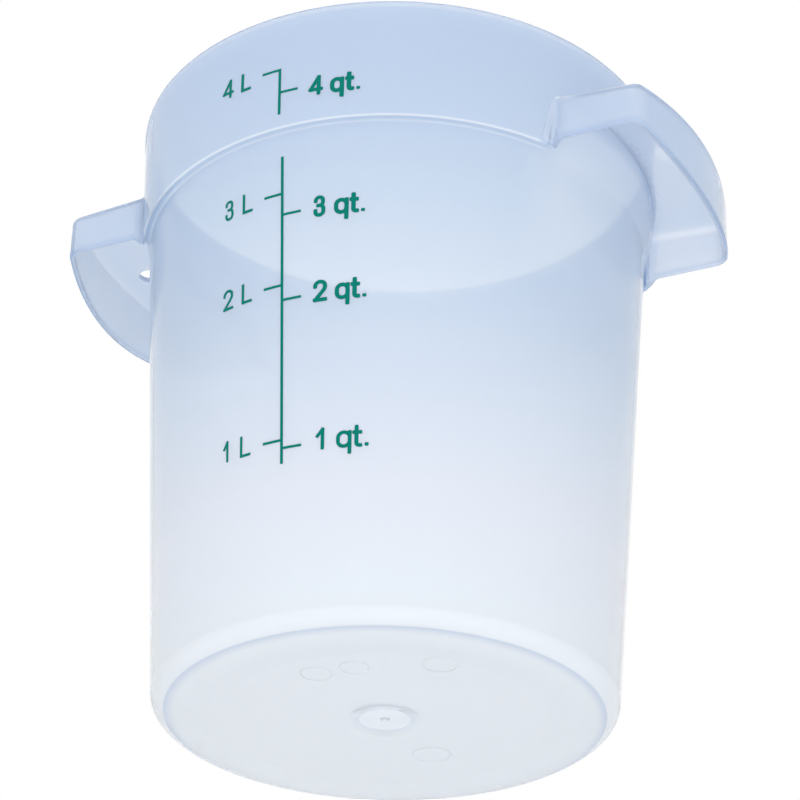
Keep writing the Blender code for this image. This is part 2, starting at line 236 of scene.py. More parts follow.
def boolean(thing: bpy.types.Object, other: bpy.types.Object, operation: str) -> None:
    """Joins another closed solid to a thing, or cuts it away, and deletes the other.

    Args:
        thing: The object that keeps the result in its mesh.
        other: The solid that is used up.
        operation: UNION or DIFFERENCE.
    """
    step = thing.modifiers.new(operation, "BOOLEAN")
    step.operation = operation
    step.solver = "EXACT"
    step.object = other
    bpy.context.view_layer.update()
    graph = bpy.context.evaluated_depsgraph_get()
    result = bpy.data.meshes.new_from_object(thing.evaluated_get(graph))
    thing.modifiers.clear()
    old, thing.data = thing.data, result
    result.name = old.name + "_joined"
    bpy.data.meshes.remove(old)
    bpy.data.objects.remove(other, do_unlink=True)


def axes(behind: Array, roll: float = 0.0) -> Matrix:
    """The turn of a lamp or a camera: its right is level and its up square to that, both then rolled.

    Args:
        behind: The way from what it looks at to the lamp or camera, of length one.
        roll: The angle by which it is rolled to its own left.

    Returns:
        The turn as a matrix of four rows.
    """
    level = direction(np.cross([0.0, 0.0, 1.0], behind))
    right = math.cos(roll) * level + math.sin(roll) * np.cross(behind, level)
    return Matrix(beside(right, np.cross(behind, right), behind).tolist()).to_4x4()


# Materials


class Nodes:
    """Lays out the shader nodes of a material or of the world."""

    def __init__(self, owner: bpy.types.Material | bpy.types.World) -> None:
        """Starts with an empty node tree."""
        self.owner = owner
        owner.use_nodes = True
        owner.node_tree.nodes.clear()

    def add(self, kind: str, inputs: dict | None = None, **settings: object) -> bpy.types.Node:
        """Adds one node.

        Args:
            kind: Its kind.
            inputs: Its inputs: one that is given a socket is linked to it, and the rest are set.
            settings: Its settings.

        Returns:
            The new node.
        """
        node = self.owner.node_tree.nodes.new("ShaderNode" + kind)
        for key, value in settings.items():
            setattr(node, key, value)
        for key, value in (inputs or {}).items():
            if isinstance(value, Socket):
                self.owner.node_tree.links.new(value, node.inputs[key])
            else:
                node.inputs[key].default_value = value
        return node

    def noise(self, scale: float, detail: float = 3.0) -> Socket:
        """A noise pattern on Object coordinates: its blotches per metre, and how much finer grain it has."""
        inputs = {"Vector": self.add("TexCoord").outputs["Object"], "Scale": scale, "Detail": detail}
        return self.add("TexNoise", inputs).outputs["Fac"]

    def ranged(self, start: Socket, low: float, high: float, old: Pair = (0.0, 1.0)) -> Socket:
        """Brings a value from an old range to a new one from low to high."""
        inputs = {"Value": start, "From Min": old[0], "From Max": old[1], "To Min": low, "To Max": high}
        return self.add("MapRange", inputs).outputs["Result"]

    def bump(self, height: Socket, depth: float) -> Socket:
        """A bump of the given depth, for a shader's normal."""
        return self.add("Bump", {"Height": height, "Distance": depth}).outputs["Normal"]

    def mixed(self, first: Socket, second: Socket, share: Socket, *rays: str) -> Socket:
        """Mixes two shaders.

        Args:
            first: The first shader.
            second: The second shader.
            share: The share of the second.
            rays: Names of Light Path's outputs that also show the second alone.

        Returns:
            The mixed shader's socket.
        """
        path = self.add("LightPath")
        for kind in rays:
            most = self.add("Math", {0: share, 1: path.outputs[kind]}, operation="MAXIMUM")
            share = most.outputs["Value"]
        return self.add("MixShader", {0: share, 1: first, 2: second}).outputs["Shader"]


@dataclass(frozen=True)
class ClearPlastic:
    """Natural moulded polypropylene: milky and faintly blue, with painted shade that makes it darker and
    bluer towards the rim.

    Each stop is a height and the colour there: the plastic's faint blue, with painted shade that makes it
    darker and bluer towards the rim. Part of the light scatters in the wall and takes that colour, and part
    goes through it. The mesh carries painted light, which makes the faces that look into the object paler
    and draws pale lines as painted highlights, and painted shade, which draws bluer lines at rounded and
    thick places.
    """

    name: str = "clear_polypropylene"
    top: float = 0.2203
    # Heights and colours: the plastic's faint blue, with painted shade that darkens it towards the rim.
    stops: tuple[tuple[float, Triple], ...] = (
        (0.002, (0.89, 0.90, 0.905)),
        (0.010, (0.908, 0.933, 0.955)),
        (0.045, (0.905, 0.915, 0.952)),
        (0.095, (0.785, 0.845, 0.918)),
        (0.130, (0.667, 0.755, 0.87)),
        (0.165, (0.58, 0.69, 0.838)),
        (0.2203, (0.525, 0.637, 0.815)),
    )
    # The colour of painted light, for pale faces and painted highlight lines.
    pale: Triple = (0.97, 0.98, 1.0)
    # The colour of painted shade, for deep lines.
    deep: Triple = (0.30, 0.45, 0.72)
    clearness: float = 0.56
    refraction: float = 1.18
    haze: Pair = (0.06, 0.10)
    haze_scale: float = 60.0
    ripple_scale: float = 90.0
    ripple_height: float = 0.00001
    depth_colour: Triple = (0.30, 0.62, 0.90)
    depth_density: float = 15.0

    def toned(self, nodes: Nodes) -> Socket:
        """The plastic's colour: its faint blue with painted shade by height, then painted light and painted
        shade as the mesh says.

        Args:
            nodes: The material's nodes.

        Returns:
            The colour's socket.
        """
        place = nodes.add("SeparateXYZ", {"Vector": nodes.add("TexCoord").outputs["Object"]})
        height = nodes.ranged(place.outputs["Z"], 0.0, 1.0, (0.0, self.top))
        ramp = nodes.add("ValToRGB", {"Fac": height})
        points = ramp.color_ramp.elements
        while len(points) < len(self.stops):
            points.new(0.5)
        for point, (level, colour) in zip(points, self.stops):
            point.position = level / self.top
            point.color = (*colour, 1.0)
        found = ramp.outputs["Color"]
        # Mixes in the mesh's painted light and painted shade.
        for layer, colour in ((Layer.PALE, self.pale), (Layer.DEEP, self.deep)):
            amount = nodes.add("Attribute", attribute_name=layer.value).outputs["Fac"]
            inputs = {"Factor": amount, "A": found, "B": (*colour, 1.0)}
            found = nodes.add("Mix", inputs, data_type="RGBA").outputs["Result"]
        return found

    def build(self) -> bpy.types.Material:
        """Makes the material, with haze and ripples from noise."""
        material = bpy.data.materials.new(self.name)
        nodes = Nodes(material)
        colour = self.toned(nodes)
        shader = nodes.add("BsdfPrincipled", {
            "Base Color": colour,
            "Transmission Weight": self.clearness,
            "IOR": self.refraction,
            "Roughness": nodes.ranged(nodes.noise(self.haze_scale), *self.haze),
            "Normal": nodes.bump(nodes.noise(self.ripple_scale, 1.0), self.ripple_height),
        })
        clear = nodes.add("BsdfTransparent", {"Color": colour})
        shadow = nodes.add("LightPath").outputs["Is Shadow Ray"]
        depth = {"Color": (*self.depth_colour, 1.0), "Density": self.depth_density}
        nodes.add("OutputMaterial", {
            "Surface": nodes.mixed(shader.outputs["BSDF"], clear.outputs["BSDF"], shadow),
            "Volume": nodes.add("VolumeAbsorption", depth).outputs["Volume"],
        })
        return material


@dataclass(frozen=True)
class PrintInk:
    """Screen-printed green ink, a little uneven in depth."""

    name: str = "printed_green_ink"
    thin: Triple = (0.000, 0.200, 0.160)
    full: Triple = (0.000, 0.170, 0.136)
    blotch_scale: float = 1400.0
    blotches: Pair = (0.3, 0.7)
    shine: float = 0.08
    gloss: Pair = (0.35, 0.55)
    gloss_scale: float = 900.0
    grain_scale: float = 2500.0
    grain_height: float = 0.00002

    def build(self) -> bpy.types.Material:
        """Makes the material, with its depth of colour and its gloss read from noise."""
        material = bpy.data.materials.new(self.name)
        nodes = Nodes(material)
        depth = nodes.ranged(nodes.noise(self.blotch_scale), 0.0, 1.0, self.blotches)
        inputs = {"Factor": depth, "A": (*self.thin, 1.0), "B": (*self.full, 1.0)}
        shader = nodes.add("BsdfPrincipled", {
            "Base Color": nodes.add("Mix", inputs, data_type="RGBA").outputs["Result"],
            "Specular IOR Level": self.shine,
            "Roughness": nodes.ranged(nodes.noise(self.gloss_scale), *self.gloss),
            "Normal": nodes.bump(nodes.noise(self.grain_scale), self.grain_height),
        })
        nodes.add("OutputMaterial", {"Surface": shader.outputs["BSDF"]})
        return material


@dataclass(frozen=True)
class PaleFloor:
    """A pale sheet that shows the object's shadow from above and is clear from below.

    Light that scatters off the object passes through it too, so it keeps no light from the foot.
    """

    name: str = "pale_floor"
    colour: Triple = (0.93, 0.93, 0.93)
    gloss: Pair = (0.75, 0.85)
    gloss_scale: float = 6.0

    def build(self) -> bpy.types.Material:
        """Makes the material, diffuse on its upper face and clear on its lower one."""
        material = bpy.data.materials.new(self.name)
        nodes = Nodes(material)
        roughness = nodes.ranged(nodes.noise(self.gloss_scale), *self.gloss)
        sheet = nodes.add("BsdfPrincipled", {"Base Color": (*self.colour, 1.0), "Roughness": roughness})
        shaders = sheet.outputs["BSDF"], nodes.add("BsdfTransparent").outputs["BSDF"]
        below = nodes.add("NewGeometry").outputs["Backfacing"]
        seen = nodes.mixed(*shaders, below, "Is Diffuse Ray", "Is Shadow Ray")
        nodes.add("OutputMaterial", {"Surface": seen})
        return material


# The moulding


@dataclass(frozen=True)
class Band:
    """A soft band of tone: where it starts and ends, the width over which it fades, and its strength."""

    low: float
    high: float
    soft: float
    strength: float = 1.0

    def at(self, value: Array) -> Array:
        """Its strength from low to high, falling evenly to zero over the soft width on both sides."""
        inward = np.minimum(value - self.low, self.high - value)
        return self.strength * np.clip(inward / self.soft + 1.0, 0.0, 1.0)


@dataclass(frozen=True)
class TubTones:
    """How strong the painted light and painted shade on the tub's lines and faces are.

    The bands named for the ledge and the rim count their heights from there, and the well's its radius
    from the well's edge. A slope is a list of heights and one of values.
    """

    # Painted highlights as pale lines on the ledge's corners, and painted shade on its face.
    ledge_top: Band = Band(0.0001, 0.0004, 0.0002, 0.75)
    ledge_root: Band = Band(-0.0005, -0.0002, 0.0002, 0.28)
    ledge_face: Band = Band(-0.0001, 0.0001, 0.0002, 0.04)
    ledge_inset: float = 0.0006
    ledge_fade: float = 0.0002
    # Painted highlight below the rim along the bead, and painted light inside near the rim.
    rim_line: Band = Band(-0.0019, -0.0004, 0.0006, 0.30)
    rim_lit: Band = Band(-0.0018, 0.0, 0.0010, 0.35)
    # Painted highlight on the foot's corner, and painted shade under it and round the well.
    foot_pale: Band = Band(0.0029, 0.0054, 0.0010, 0.45)
    foot_deep: tuple[Values, Values] = ((0.0005, 0.0016, 0.0026, 0.0028), (0.0, 0.48, 0.48, 0.0))
    well: Band = Band(0.0, 0.0004, 0.0006, 0.20)
    # Painted light beside, below and in the hoods, where their shadow falls.
    beside_hoods: Band = Band(-1.0, 0.040, 0.014)
    below_hoods: tuple[Values, Values] = ((0.115, 0.172), (0.0, 0.32))
    in_hoods: float = 0.08
    # Painted light on the faces that look into the tub.
    inside: float = 0.50
    inside_collar: float = 0.46


@dataclass
class Tub:
    """The turned tub: foot, tapered wall, ledge, collar and rim bead, all in one wall."""

    tint: TubTones = TubTones()
    foot_radius: float = 0.07525
    wall_flare: float = 0.0121
    ledge_height: float = 0.1751
    wall: float = 0.0020
    floor: float = 0.0030
    corner: Pair = (0.0120, 0.0066)
    inner_corner: float = 0.0050
    foot_ring: float = 0.0020
    recess: float = 0.0004
    recess_slope: float = 0.0080
    recess_fillet: float = 0.0200
    well_radius: float = 0.0080
    well_depth: float = 0.0012
    well_slope: float = 0.0038
    well_fillets: Pair = (0.0012, 0.0015)
    nub_radius: float = 0.0012
    nub_slope: float = 0.0004
    nub_height: float = 0.0008
    nub_fillet: float = 0.0003
    ledge_width: float = 0.0027
    ledge_thickness: float = 0.0022
    ledge_fillets: Triple = (0.0009, 0.0008, 0.0010)
    collar_height: float = 0.0452
    collar_flare: float = 0.0016
    bead_height: float = 0.0025
    bead_step: float = 0.0010
    bead_projection: float = 0.00035
    bead_fillets: Triple = (0.0008, 0.0004, 0.0007)
    hood_start: float = 0.0012
    hood_top: float = 0.0184
    hood_half: float = 0.0465
    line_start: float = 0.0508
    turns: int = 288
    corner_steps: int = 26
    arc_step: float = 0.0004
    stretch: float = 0.0060
    guard: float = 0.0003

    @property
    def rim_height(self) -> float:
        """The height of the rim."""
        return self.ledge_height + self.collar_height

    @property
    def hood_span(self) -> Pair:
        """The heights between which the wall runs straight up under a handle."""
        return self.ledge_height - self.hood_start, self.ledge_height + self.hood_top

    def wall_radius(self, height: Number) -> Number:
        """Outer radius of the tapered wall: foot radius plus the flare's share at the height."""
        return self.foot_radius + self.wall_flare * height / self.ledge_height

    def collar_radius(self, height: Number) -> Number:
        """Outer radius of the collar: its lowest radius plus the flare's share at the height."""
        low = self.foot_radius + self.wall_flare + self.ledge_width
        return low + self.collar_flare * (height - self.ledge_height) / self.collar_height

    def profile(self) -> Array:
        """The closed wall in section, from the axis out under the floor, up, over the rim and back in.

        The foot's corner is a quarter of an ellipse, wider than it is tall.
        """
        rim, ledge, wall, collar = self.rim_height, self.ledge_height, self.wall_radius, self.collar_radius
        under = self.recess + self.well_depth
        slope_end = self.well_radius + self.well_slope
        flat_end = self.foot_radius - self.corner[0]
        bead_low = rim - self.bead_height
        bead = collar(rim) + self.bead_projection
        floor_top = self.recess + self.floor
        ledge_top = ledge + self.ledge_thickness
        well_edge, well_foot = self.well_fillets
        ledge_root, ledge_edge, ledge_inner = self.ledge_fillets
        bead_root, bead_edge, rim_edge = self.bead_fillets
        under_side = [
            (0.0, under - self.nub_height),
            (self.nub_radius, under - self.nub_height, self.nub_fillet),
            (self.nub_radius + self.nub_slope, under, self.nub_fillet),
            (self.well_radius, under, well_edge),
            (slope_end, self.recess, well_foot),
            (flat_end - self.foot_ring - self.recess_slope, self.recess, self.recess_fillet),
            (flat_end - self.foot_ring, 0.0, self.recess_fillet),
            (flat_end, 0.0),
        ]
        wall_side = [
            (wall(self.corner[1]), self.corner[1]),
            (wall(ledge), ledge, ledge_root),
            (collar(ledge), ledge, ledge_edge),
            (collar(bead_low), bead_low, bead_root),
            (bead, bead_low + self.bead_step, bead_edge),
            (bead, rim, rim_edge),
            (collar(rim) - self.wall, rim, rim_edge),
            (collar(ledge_top) - self.wall, ledge_top, ledge_inner),
            (wall(ledge_top) - self.wall, ledge_top, ledge_inner),
            (wall(floor_top) - self.wall, floor_top, self.inner_corner),
            (slope_end, floor_top, well_foot),
            (self.well_radius, floor_top + self.well_depth, well_edge),
            (0.0, floor_top + self.well_depth),
        ]
        low, high = (
            rounded_line(side, self.arc_step, self.stretch, self.guard) for side in (under_side, wall_side)
        )
        turn = np.linspace(0.0, math.pi / 2, self.corner_steps + 1)[1:-1]
        wide = wall(self.corner[1]) - low[-1, 0]
        curve = beside(low[-1, 0] + wide * np.sin(turn), self.corner[1] * (1 - np.cos(turn)))
        return np.concatenate([low, curve, high])

    def hooded(self, profile: Array) -> Array:
        """The section under a handle, where the wall runs straight up to the collar with no ledge.

        Args:
            profile: The section elsewhere.

        Returns:
            The same rows, with those between the ledge and the handle's plate on a straight line.
        """
        height, found = profile[:, 1], profile.copy()
        peak = int(np.argmax(height))
        start, top = self.hood_span
        rows = np.arange(len(height))
        outside = (rows < peak) & (height >= start) & (height <= top)
        inside = (rows > peak) & (height >= start + self.ledge_thickness) & (height <= top)
        for part in (rows[outside], rows[inside]):
            share = np.linspace(0.0, 1.0, len(part))[:, None]
            found[part] = (1 - share) * profile[part[0]] + share * profile[part[-1]]
        return found

    def tones(self, points: Array) -> Tones:
        """How strong the painted light and painted shade on the tub's wall are at its points, from each
        one's radius and height.

        A point nearer the axis than the middle of the wall is on the inside, which is painted pale as
        painted light. The outside has pale lines as painted highlights on the foot's corner, the ledge's two
        corners and the bead, is painted paler under and below the hoods, as painted light for the light that
        scatters there where the hoods' shadow falls, and has painted shade that makes it deeper under the
        foot's corner, round the well and under the ledge.

        Args:
            points: The points' coordinates.

        Returns:
            Both values per point, from zero to one.
        """
        tint, (start, top) = self.tint, self.hood_span
        radius, height, across = np.hypot(points[:, 0], points[:, 1]), points[:, 2], np.abs(points[:, 1])
        above = height > self.ledge_height + self.ledge_thickness / 2
        outer = np.where(above, self.collar_radius(height), self.wall_radius(height))
        straight = np.interp(height, [start, top], [self.wall_radius(start), self.collar_radius(top)])
        hooded = (across < self.hood_half) & (height > start) & (height < top)
        outer = np.where(hooded, straight, outer)
        inside = (radius < outer - self.wall / 2) & (height > self.floor / 2)
        outside = ~inside & (radius < self.collar_radius(height) + 2 * self.bead_projection)
        low, free = radius > self.foot_radius - self.corner[0], across > self.hood_half
        over_ledge, over_rim = height - self.ledge_height, height - self.rim_height
        edge = self.collar_radius(self.ledge_height) - tint.ledge_inset
        face = Band(edge - self.ledge_width + 2 * tint.ledge_inset, edge, tint.ledge_fade)
        # Painted highlights: pale lines on the ledge, the foot's corner and the bead.
        lines = (
            tint.ledge_top.at(over_ledge) * (across > self.line_start) * (radius > edge)
            + tint.ledge_root.at(over_ledge) * free
            + tint.foot_pale.at(height) * low
            + tint.rim_line.at(over_rim)
        )
        # Painted light under and below the hoods, where their shadow falls.
        below = (hooded | ~above) * tint.beside_hoods.at(across)
        below = below * (np.interp(height, *tint.below_hoods) + tint.in_hoods * hooded)
        # Painted shade: deep lines under the foot's corner, round the well and on the ledge's face.
        deep = (
            low * np.interp(height, *tint.foot_deep)
            + (height < self.floor / 2) * tint.well.at(radius - self.well_radius)
            + tint.ledge_face.at(over_ledge) * free * face.at(radius)
        )
        # Painted light inside, paler still near the rim.
        lit = np.where(above, tint.inside_collar, tint.inside) + tint.rim_lit.at(over_rim)
        return np.where(inside, lit, outside * np.maximum(lines, below)), outside * deep

    def build(self) -> bpy.types.Object:
        """Makes the tub as one closed turned wall."""
        profile = self.profile()
        edge = self.collar_radius(self.ledge_height)
        under = np.abs(edge * np.sin(full_turn(self.turns))) < self.hood_half
        grids = (turned_grid(section, self.turns) for section in (self.hooded(profile), profile))
        return closed_solid("moulding", [np.where(under[None, :, None], *grids)])


@dataclass(frozen=True)
class HandleTones:
    """How strong the painted light and painted shade on a handle's lines and faces are. A band counts from
    what it is named for.
    """

    # Painted shade: deep lines along the skirt's lower edge and where the handle swells into the collar.
    skirt_edge: Band = Band(-0.01, 0.0009, 0.0014, 0.26)
    root: Band = Band(0.0004, 0.0024, 0.0010, 0.16)
    # Painted light under the hood, and on the outside, stronger at the sides.
    lit: float = 1.00
    lit_loss: float = 0.30
    shell: float = 0.10
    side_gain: float = 0.18
    side_start: float = 0.0060
    side_fade: float = 0.0030
    clear_of_collar: float = 0.0002


@dataclass
class Handle:
    """A hooded handle: a plate that springs from the collar and a skirt turned down round its rim."""

    tub: Tub
    side: Side
    tint: HandleTones = HandleTones()
    reach: float = 0.02493
    half_width: float = 0.0475
    front_radius: float = 0.1300
    corner_radius: float = 0.0056
    bend_radius: float = 0.0048
    front_bend: float = 0.0026
    thickness: float = 0.0020
    plate_rise: float = 0.0222
    plate_fall: float = 0.0017
    crown: float = 0.0021
    skirt_end_rise: float = 0.0024
    skirt_dip: float = 0.0065
    root_run: float = 0.0042
    root_gap: float = 0.0004
    flare: float = 0.0012
    root_top: float = 0.0016
    root_low: float = 0.0068
    bite: float = 0.0010
    hole_radius: float = 0.0039
    hole_setback: float = 0.0146
    hole_reach: float = 0.0100
    hole_turns: int = 48
    side_steps: int = 26
    corner_steps: int = 12
    front_steps: int = 28
    plate_steps: int = 20
    plate_crowding: float = 2.2
    arc_steps: int = 9
    skirt_crowding: float = 1.6

    @property
    def reach_x(self) -> float:
        """How far out the handle's front is."""
        return float(self.tub.collar_radius(self.tub.ledge_height + self.plate_rise)) + self.reach

    @property
    def front_centre(self) -> float:
        """How far out the centre of the front's arc is."""
        return self.reach_x - self.front_radius

    @property
    def corner_centre(self) -> Pair:
        """The centre of a rounded corner: inside the front's arc and the side by the corner's radius."""
        y = self.half_width - self.corner_radius
        return self.front_centre + math.sqrt((self.front_radius - self.corner_radius) ** 2 - y**2), y

    def inset(self, x: Array, y: Array) -> Array:
        """How far in from the rim a point is in plan: from the side, the front or the corner's arc."""
        corner_x, corner_y = self.corner_centre
        side = self.half_width - np.abs(y)
        front = self.front_radius - np.hypot(x - self.front_centre, y)
        corner = self.corner_radius - np.hypot(x - corner_x, np.abs(y) - corner_y)
        return np.where((x > corner_x) & (np.abs(y) > corner_y), corner, np.minimum(side, front))

    def plan(self) -> Array:
        """The rim's plan in stations: along one side, round a corner, across the front and back.

        A side is a straight line with its stations closer together near the collar. A corner and half of
        the front are arcs: the centre plus the radius times the outward direction.

        Returns:
            Per station: x, y, outward x, outward y, and the share of the way out along a side.
        """
        corner_x, corner_y = self.corner_centre
        turn = math.atan2(corner_y, corner_x - self.front_centre)
        share = np.linspace(0.0, 1.0, self.side_steps, endpoint=False) ** 2
        stations = [beside(corner_x, -self.half_width, 0.0, -1.0, share)]
        for x, y, radius, start, end, steps in (
            (corner_x, -corner_y, self.corner_radius, -math.pi / 2, -turn, self.corner_steps),
            (self.front_centre, 0.0, self.front_radius, -turn, 0.0, self.front_steps),
        ):
            angle = np.linspace(start, end, steps, endpoint=False)
            out_x, out_y = np.cos(angle), np.sin(angle)
            stations.append(beside(x + radius * out_x, y + radius * out_y, out_x, out_y, 1.0))
        half = np.concatenate(stations)
        middle = np.array([[self.reach_x, 0.0, 1.0, 0.0, 1.0]])
        mirror = half[::-1] * np.array([1.0, -1.0, 1.0, -1.0, 1.0])
        return np.concatenate([half, middle, mirror])

    def plate_height(self, x: Array, y: Array) -> Array:
        """Height of the plate's top: it falls evenly to the front, and as a square to both sides."""
        start = self.tub.collar_radius(self.tub.ledge_height)
        fall = self.plate_fall * (x - start) / self.reach + self.crown * (y / self.half_width) ** 2
        return self.tub.ledge_height + self.plate_rise - fall

    def skirt_edge(self, x: Array, y: Array) -> Array:
        """Height of the skirt's lower edge: a short slope at the root, and an arc that dips in front."""
        root = math.sqrt(self.tub.collar_radius(self.tub.ledge_height) ** 2 - self.half_width**2)
        out = np.clip((x - root - self.root_run + self.skirt_end_rise) / self.skirt_end_rise, 0.0, 1.0)
        half = self.half_width - self.thickness
        radius = (half**2 + self.skirt_dip**2) / (2 * self.skirt_dip)
        near = np.minimum(np.abs(y), half)
        dip = np.sqrt(radius**2 - near**2) - (radius - self.skirt_dip)
        return self.tub.ledge_height + self.skirt_end_rise * out - dip

    def section(self, bend: float) -> Array:
        """The wall in section, round from the underside of the plate to its top.

        Points are closer together near the collar and near the skirt's lower edge.

        Args:
            bend: The radius of the bend between plate and skirt.

        Returns:
            Per point: distance in from the rim, height below the plate's top, share of the way down the
            skirt, share of the way back to the collar, and how it thickens inwards and upwards.
        """
        wall, half, steps = self.thickness, self.thickness / 2, self.arc_steps + 1
        back = 1 - np.linspace(0.0, 1.0, self.plate_steps) ** self.plate_crowding
        down = 1 - (1 - np.linspace(0.0, 1.0, steps)[1:]) ** self.skirt_crowding
        turn = np.linspace(0.0, math.pi / 2, steps)[1:]
        out, up = np.sin(turn), np.cos(turn)
        turn = np.linspace(0.0, math.pi, steps)[1:-1]
        lip_in, lip_low = np.cos(turn), np.sin(turn)
        return np.concatenate([
            beside(bend, wall, 0.0, back, 0.0, -1.0),
            beside(bend - (bend - wall) * out, bend - (bend - wall) * up, 0.0, 0.0, out, -up),
            beside(wall, bend, down, 0.0, 1.0, 0.0),
            beside(half + half * lip_in, bend + half * lip_low, 1.0, 0.0, lip_in, 0.0),
            beside(0.0, bend, down, 0.0, -1.0, 0.0)[::-1],
            beside(bend - bend * out, bend - bend * up, 0.0, 0.0, -out, up)[::-1],
            beside(bend, 0.0, 0.0, back, 0.0, 1.0)[::-1],
        ])

    def points(self) -> Array:
        """The handle's wall as a grid: the section carried round the plan.

        A point of the skirt or a bend lies in from the rim by its distance, and one of the plate on the
        straight line from the bend to the collar. Near the collar the plate thickens by a quarter circle's
        height, and the skirt's outer face leaves the collar on an arc that touches both, of a radius that
        grows downwards. At both ends the grid stops inside the collar's wall.
        """
        plan = self.plan()
        section, tight = self.section(self.bend_radius), self.section(self.front_bend)
        x, y, out_x, out_y, along = (column[:, None] for column in plan.T)
        inset, drop, down, back, thick_in, thick_up = (row[None, :] for row in section.T)
        ahead = np.clip(out_x, 0.0, 1.0) ** 2
        inset, drop = ((1 - ahead) * wide + ahead * near for wide, near in zip((inset, drop), tight.T[:2]))
        bend = (1 - ahead) * self.bend_radius + ahead * self.front_bend
        deep = self.tub.collar_radius(self.tub.ledge_height + self.plate_rise) - self.bite
        station = np.linspace(-1.0, 1.0, len(plan))[:, None]
        collar_y = (self.half_width - self.bend_radius - self.root_gap) * station
        collar_x = np.sqrt(deep**2 - collar_y**2)
        rim_x, rim_y = x - inset * out_x, y - inset * out_y
        across_y = rim_y + back * (collar_y - rim_y)
        blend = np.clip(-thick_in, 0.0, 1.0) * (self.root_top + down * (self.root_low - self.root_top))
        turn = math.acos(self.half_width / deep)
        root_x = np.sqrt(deep**2 - (np.abs(across_y) + (1 - math.cos(turn)) * blend * (1 - back)) ** 2)
        side_x = root_x + along * (rim_x - root_x)
        start_x = np.sqrt((deep + self.bite) ** 2 - self.half_width**2)
        lag = np.clip(math.tan(turn / 2) * blend - (side_x - start_x), 0.0, math.sin(turn) * blend)
        across_y = across_y + out_y * (blend - np.sqrt(blend**2 - lag**2))
        across_x = side_x + back * (collar_x - side_x)
        top = self.plate_height(np.maximum(across_x, 0.0), across_y)
        edge = self.skirt_edge(across_x, across_y) + self.thickness / 2
        start = top - bend
        skirt = start + down * (edge - start) - np.maximum(drop - bend, 0.0)
        height = np.where(down > 0, skirt, top - drop)
        away = np.hypot(across_x, across_y) - self.tub.collar_radius(height)
        near = np.clip(away, 0.0, self.flare)
        swell = self.flare - np.sqrt(self.flare**2 - (self.flare - near) ** 2)
        inner = np.maximum(thick_in, 0.0) * (back == 0)
        x, y = across_x - swell * inner * out_x, across_y - swell * inner * out_y
        return beside(x, y, height + swell * thick_up)

    def tones(self, points: Array) -> Tones:
        """How strong the painted light and painted shade on the handle's wall are at its points.

        Under the hood the wall is painted pale, as painted light for what scatters there, and the outside's
        painted light is stronger at the sides, where more light passes, than at the front. The skirt's lower
        edge has a deep line of painted shade, and so does the band where the handle swells into the collar.

        Args:
            points: The points' coordinates, as they are on the object.

        Returns:
            Both values per point, from zero to one, and zero off the handle.
        """
        tint, half = self.tint, self.thickness / 2
        x, y, z = points.T * np.array([[self.side.value], [1.0], [1.0]])
        away = np.hypot(x, y) - self.tub.collar_radius(z)
        mine = (away > tint.clear_of_collar) & (x > 0.0)
        top, inset = self.plate_height(x, y), self.inset(x, y)
        hole = np.hypot(x - self.reach_x + self.hole_setback, y) < self.hole_radius + half / 2
        under = (inset > half) & (hole | (z < top - half))
        # Painted light under the hood, fading away from the rim, and on the outside, stronger at the sides.
        lit = tint.lit - tint.lit_loss * np.clip((inset - self.thickness) / self.bend_radius, 0.0, 1.0)
        aside = (np.abs(y) - self.half_width + tint.side_start) / tint.side_fade
        shell = tint.shell + tint.side_gain * np.clip(aside, 0.0, 1.0)
        # Painted shade along the skirt's lower edge and at the root.
        edge = tint.skirt_edge.at(z - self.skirt_edge(x, y)) * (z < top - self.bend_radius)
        root = tint.root.at(away) * (top - z > self.thickness)
        return mine * np.where(under, lit, shell), mine * np.maximum(edge, root)

    def hole_tool(self) -> bpy.types.Object:
        """A turned plug the size of the hanging hole, which reaches past both faces of the plate."""
        middle = self.reach_x - self.hole_setback
        level = float(self.plate_height(np.array(middle), np.array(0.0)))
        low, high = level - self.hole_reach, level + self.hole_reach
        profile = np.array([(0.0, low), (self.hole_radius, low), (self.hole_radius, high), (0.0, high)])
        return closed_solid("hole_tool", [turned_grid(profile, self.hole_turns) + [middle, 0.0, 0.0]])

    def build(self) -> bpy.types.Object:
        """Makes the handle on its own side as a closed solid. The left one has the hanging hole."""
        handle = closed_solid("handle_" + self.side.name.lower(), [self.points()], ends=True)
        if self.side is Side.LEFT:
            boolean(handle, self.hole_tool(), "DIFFERENCE")
            handle.data.transform(Matrix.Rotation(math.pi, 4, "Z"))
        return handle


@dataclass
class BaseRings:
    """Plain raised rings on the underside of the base: each one's middle, and its radius."""

    tub: Tub
    spots: tuple[Triple, ...] = (
        (-0.0040, -0.0425, 0.0050),
        (0.0090, -0.0425, 0.0046),
        (0.0343, -0.0349, 0.0054),
        (0.0033, 0.0304, 0.0062),
    )
    width: float = 0.0007
    height: float = 0.0002
    turns: int = 48
    steps: int = 8

    def build(self) -> bpy.types.Object:
        """Makes all rings as one mesh: an ellipse carried round a circle, half sunk in the base."""
        turn, angle = full_turn(self.turns)[:, None], full_turn(self.steps)[None, :]
        level = self.tub.recess + self.height * np.sin(angle)
        rings = []
        for x, y, radius in self.spots:
            away = radius + self.width / 2 * np.cos(angle)
            rings.append(beside(x + away * np.cos(turn), y + away * np.sin(turn), level))
        return closed_solid("base_rings", rings, Loop.CLOSED)


